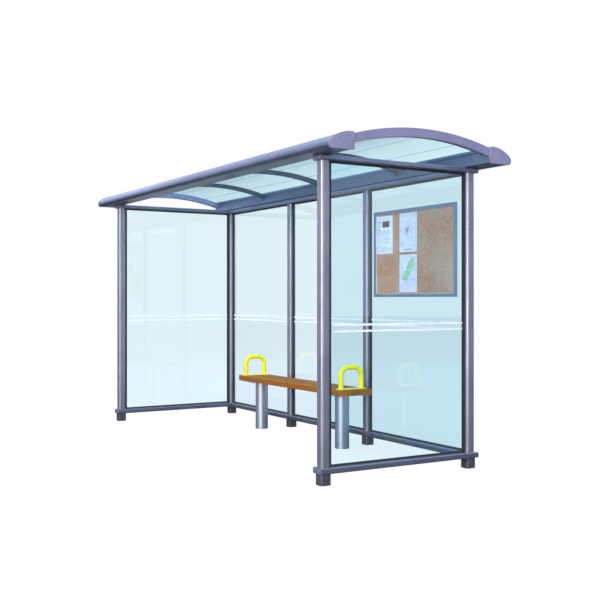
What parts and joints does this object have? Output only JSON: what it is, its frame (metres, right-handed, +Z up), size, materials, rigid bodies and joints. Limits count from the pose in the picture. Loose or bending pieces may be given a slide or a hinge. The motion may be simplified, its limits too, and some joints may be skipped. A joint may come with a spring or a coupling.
{
  "type": "bus shelter",
  "caption": "Open-fronted glazed bus shelter with a barrel roof on arched ribs, a timber bench with armrest hoops and a cork notice board.",
  "frame": {"origin": "centre of the shelter's plan at ground level", "axes": "+X along the shelter's length, to the right as seen from its open front; +Y from the open front to the glazed back; +Z up"},
  "size_m": [4.5, 1.569, 2.4169],
  "materials": {
    "frame_aluminium": "satin metallic blue-grey powder coat",
    "cap_moulding": "satin blue-grey paint",
    "foot_steel": "dark grey satin",
    "safety_glass": "clear with a pale blue-green tint",
    "roof_polycarbonate": "clear pale blue sheet",
    "glazing_rubber": "matt black",
    "seat_timber": "oiled, semi-matt",
    "leg_steel": "satin brushed",
    "hoop_paint": "high-visibility yellow powder coat",
    "cork": "matt cork"
  },
  "bodies": {
    "root": {"front_left_post": "frame_aluminium", "front_right_post": "frame_aluminium", "back_left_post": "frame_aluminium", "back_mid_left_post": "frame_aluminium", "back_mid_right_post": "frame_aluminium", "back_right_post": "frame_aluminium", "front_feet": "foot_steel", "back_feet": "foot_steel", "left_bottom_rail": "frame_aluminium", "right_bottom_rail": "frame_aluminium", "back_bottom_rail": "frame_aluminium", "left_top_rail": "frame_aluminium", "right_top_rail": "frame_aluminium", "back_top_rail": "frame_aluminium", "left_end_pane": "safety_glass", "right_end_pane": "safety_glass", "back_left_pane": "safety_glass", "back_centre_pane": "safety_glass", "back_right_pane": "safety_glass", "end_gaskets": "glazing_rubber", "back_gaskets": "glazing_rubber", "front_fascia": "frame_aluminium", "rear_gutter": "frame_aluminium", "left_roof_caps": "cap_moulding", "right_roof_caps": "cap_moulding", "left_end_arch": "frame_aluminium", "right_end_arch": "frame_aluminium", "left_roof_rib": "frame_aluminium", "centre_roof_rib": "frame_aluminium", "right_roof_rib": "frame_aluminium", "outer_left_roof_sheet": "roof_polycarbonate", "inner_left_roof_sheet": "roof_polycarbonate", "inner_right_roof_sheet": "roof_polycarbonate", "outer_right_roof_sheet": "roof_polycarbonate", "roof_joint_covers": "frame_aluminium", "seat_front_board": "seat_timber", "seat_middle_board": "seat_timber", "seat_rear_board": "seat_timber", "left_seat_leg": "leg_steel", "right_seat_leg": "leg_steel", "seat_leg_plates": "leg_steel", "left_armrest_hoop": "hoop_paint", "right_armrest_hoop": "hoop_paint", "notice_board_frame": "frame_aluminium", "notice_board_panel": "cork"}
  },
  "joints": []
}
